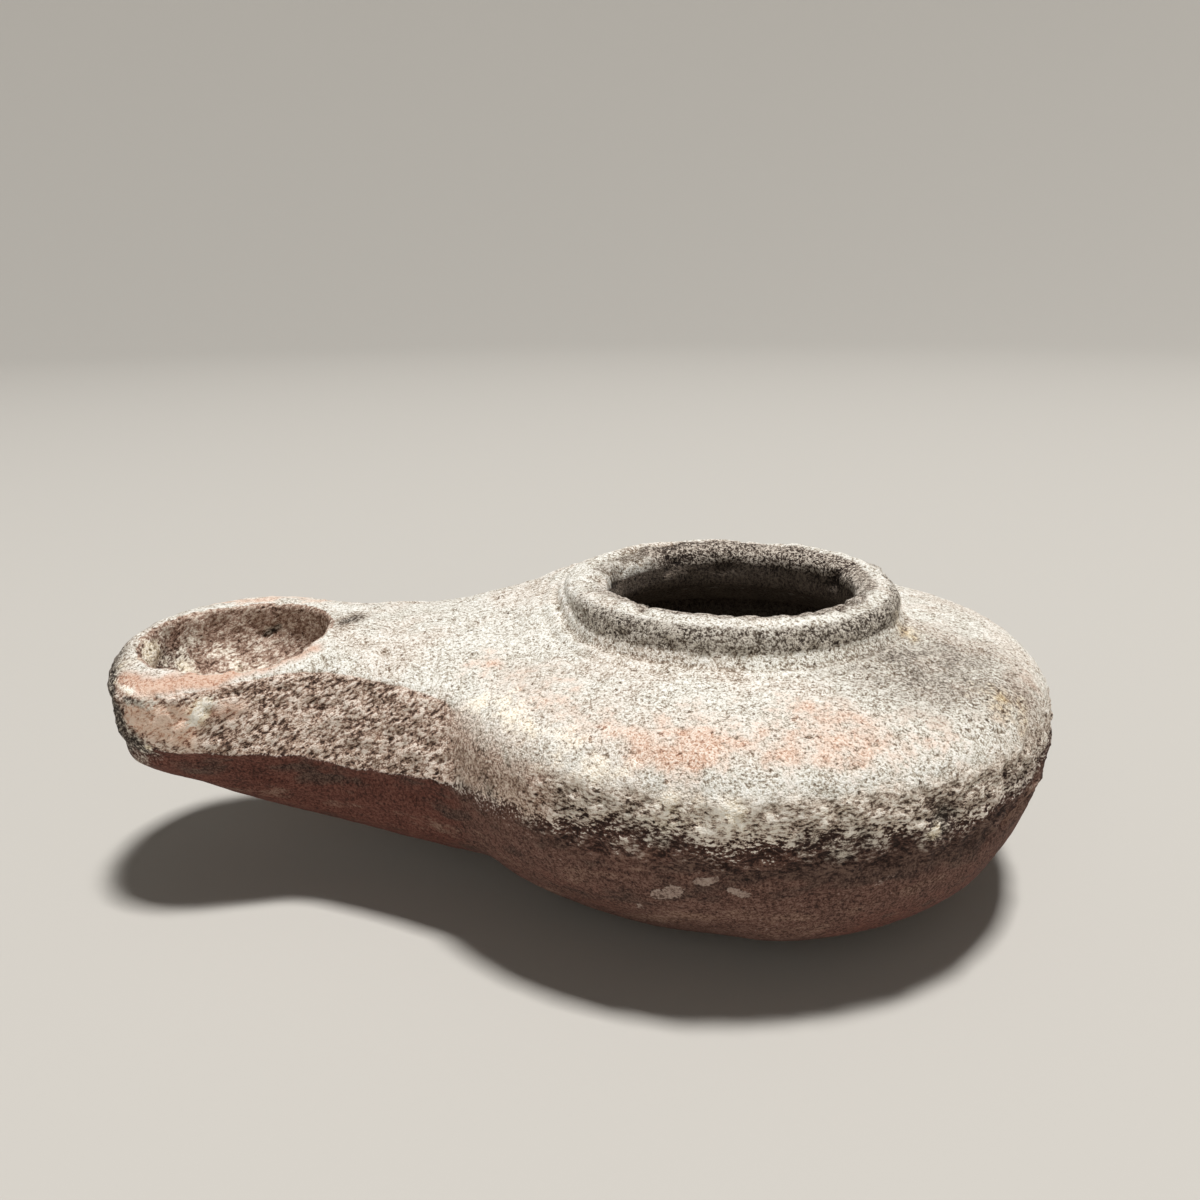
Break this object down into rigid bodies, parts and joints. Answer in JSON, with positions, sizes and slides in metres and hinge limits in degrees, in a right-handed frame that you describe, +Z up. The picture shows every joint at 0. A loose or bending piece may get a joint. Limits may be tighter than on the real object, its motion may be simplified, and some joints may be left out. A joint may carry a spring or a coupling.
{
  "type": "pottery oil lamp",
  "caption": "Ancient wheel-thrown clay oil lamp: low round body, collared filling hole, and a long knife-pared nozzle with a large wick hole. Worn and weathered.",
  "frame": {"origin": "centre of the flat base, on the surface that the lamp stands on", "axes": "+Z up through the filling hole, -X along the nozzle, and -Y towards the side that the picture shows"},
  "size_m": [0.1007, 0.068, 0.0325],
  "materials": {
    "weathered_clay": "matt fired clay, cream to pink above and red brown below, with soot and mineral crust"
  },
  "bodies": {
    "root": {"oil_lamp": "weathered_clay"}
  },
  "joints": []
}
